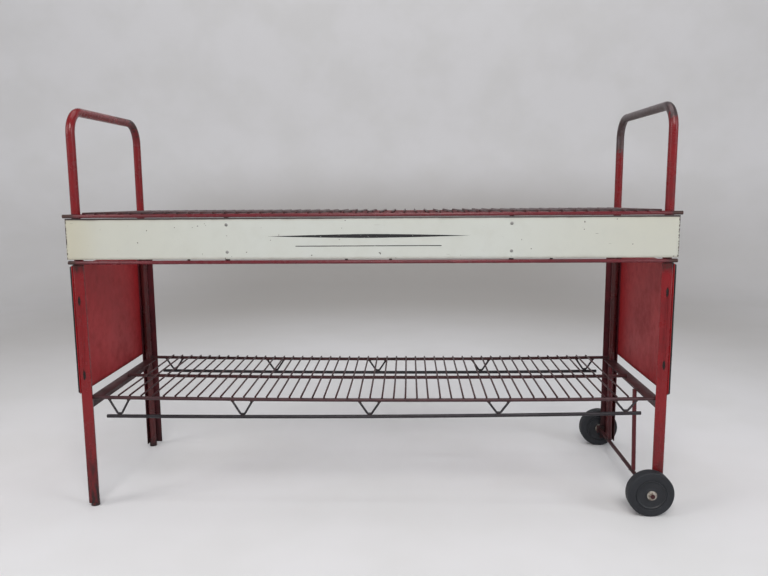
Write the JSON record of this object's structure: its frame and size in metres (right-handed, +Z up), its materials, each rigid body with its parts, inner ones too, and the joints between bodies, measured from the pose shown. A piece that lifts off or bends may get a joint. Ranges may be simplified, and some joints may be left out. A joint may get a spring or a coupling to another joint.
{
  "type": "newspaper rack",
  "caption": "Low rolling newspaper rack with two wire shelves between tube end hoops, side panels, a sign rail along the front and a pair of wheels at one end.",
  "frame": {"origin": "on the floor under the middle of the whole rack's box", "axes": "+X along the rack towards the wheels, +Y from the sign towards the back, +Z up"},
  "size_m": [1.3148, 0.4736, 0.89],
  "materials": {
    "red_enamel": "gloss red enamel, worn to brown steel on the hand grips and lower legs",
    "brown_enamel": "thin red-brown enamel rubbed through to dark steel",
    "dark_steel": "dark oxidised steel",
    "cream_enamel": "aged cream enamel, satin, chipped at the ends",
    "zinc": "dull zinc plate",
    "tyre_rubber": "smooth dusty black rubber",
    "wheel_plastic": "moulded black plastic"
  },
  "bodies": {
    "frame": {"left_end_hoop": "red_enamel", "right_end_hoop": "red_enamel", "left_front_leg_angle": "red_enamel", "left_rear_leg_angle": "red_enamel", "right_front_leg_angle": "red_enamel", "right_rear_leg_angle": "red_enamel", "left_side_panel": "red_enamel", "right_side_panel": "red_enamel", "sign_bottom_rod": "red_enamel", "rear_bottom_rod": "red_enamel", "left_sign_strap": "red_enamel", "right_sign_strap": "red_enamel", "front_brace": "red_enamel", "rear_brace": "red_enamel", "front_axle_plate": "red_enamel", "rear_axle_plate": "red_enamel", "left_cross_member": "brown_enamel", "right_cross_member": "brown_enamel", "left_top_rail": "brown_enamel", "right_top_rail": "brown_enamel", "front_top_rod": "brown_enamel", "middle_top_rod": "brown_enamel", "rear_top_rod": "brown_enamel", "top_shelf_wires": "brown_enamel", "middle_shelf_rod": "brown_enamel", "rear_shelf_rod": "brown_enamel", "front_shelf_rod": "brown_enamel", "lower_shelf_wires": "brown_enamel", "front_truss_rod": "dark_steel", "rear_truss_rod": "dark_steel", "front_truss_vees": "dark_steel", "rear_truss_vees": "dark_steel", "leg_plug_welds": "dark_steel", "sign_tabs": "dark_steel", "axle": "dark_steel", "sign_panel": "cream_enamel", "sign_rivets": "zinc", "inner_washers": "zinc", "outer_washers": "zinc", "push_nuts": "zinc"},
    "front_wheel": {"front_tyre": "tyre_rubber", "front_wheel_centre": "wheel_plastic", "front_wheel_bush": "zinc"},
    "rear_wheel": {"rear_tyre": "tyre_rubber", "rear_wheel_centre": "wheel_plastic", "rear_wheel_bush": "zinc"}
  },
  "joints": [
    {"name": "front_wheel_spin", "type": "hinge", "parent": "frame", "child": "front_wheel", "pos_m": [0.6074, -0.2154, 0.05], "axis": [0, 1, 0], "continuous": true},
    {"name": "rear_wheel_spin", "type": "hinge", "parent": "frame", "child": "rear_wheel", "pos_m": [0.6074, 0.2154, 0.05], "axis": [0, 1, 0], "continuous": true}
  ]
}
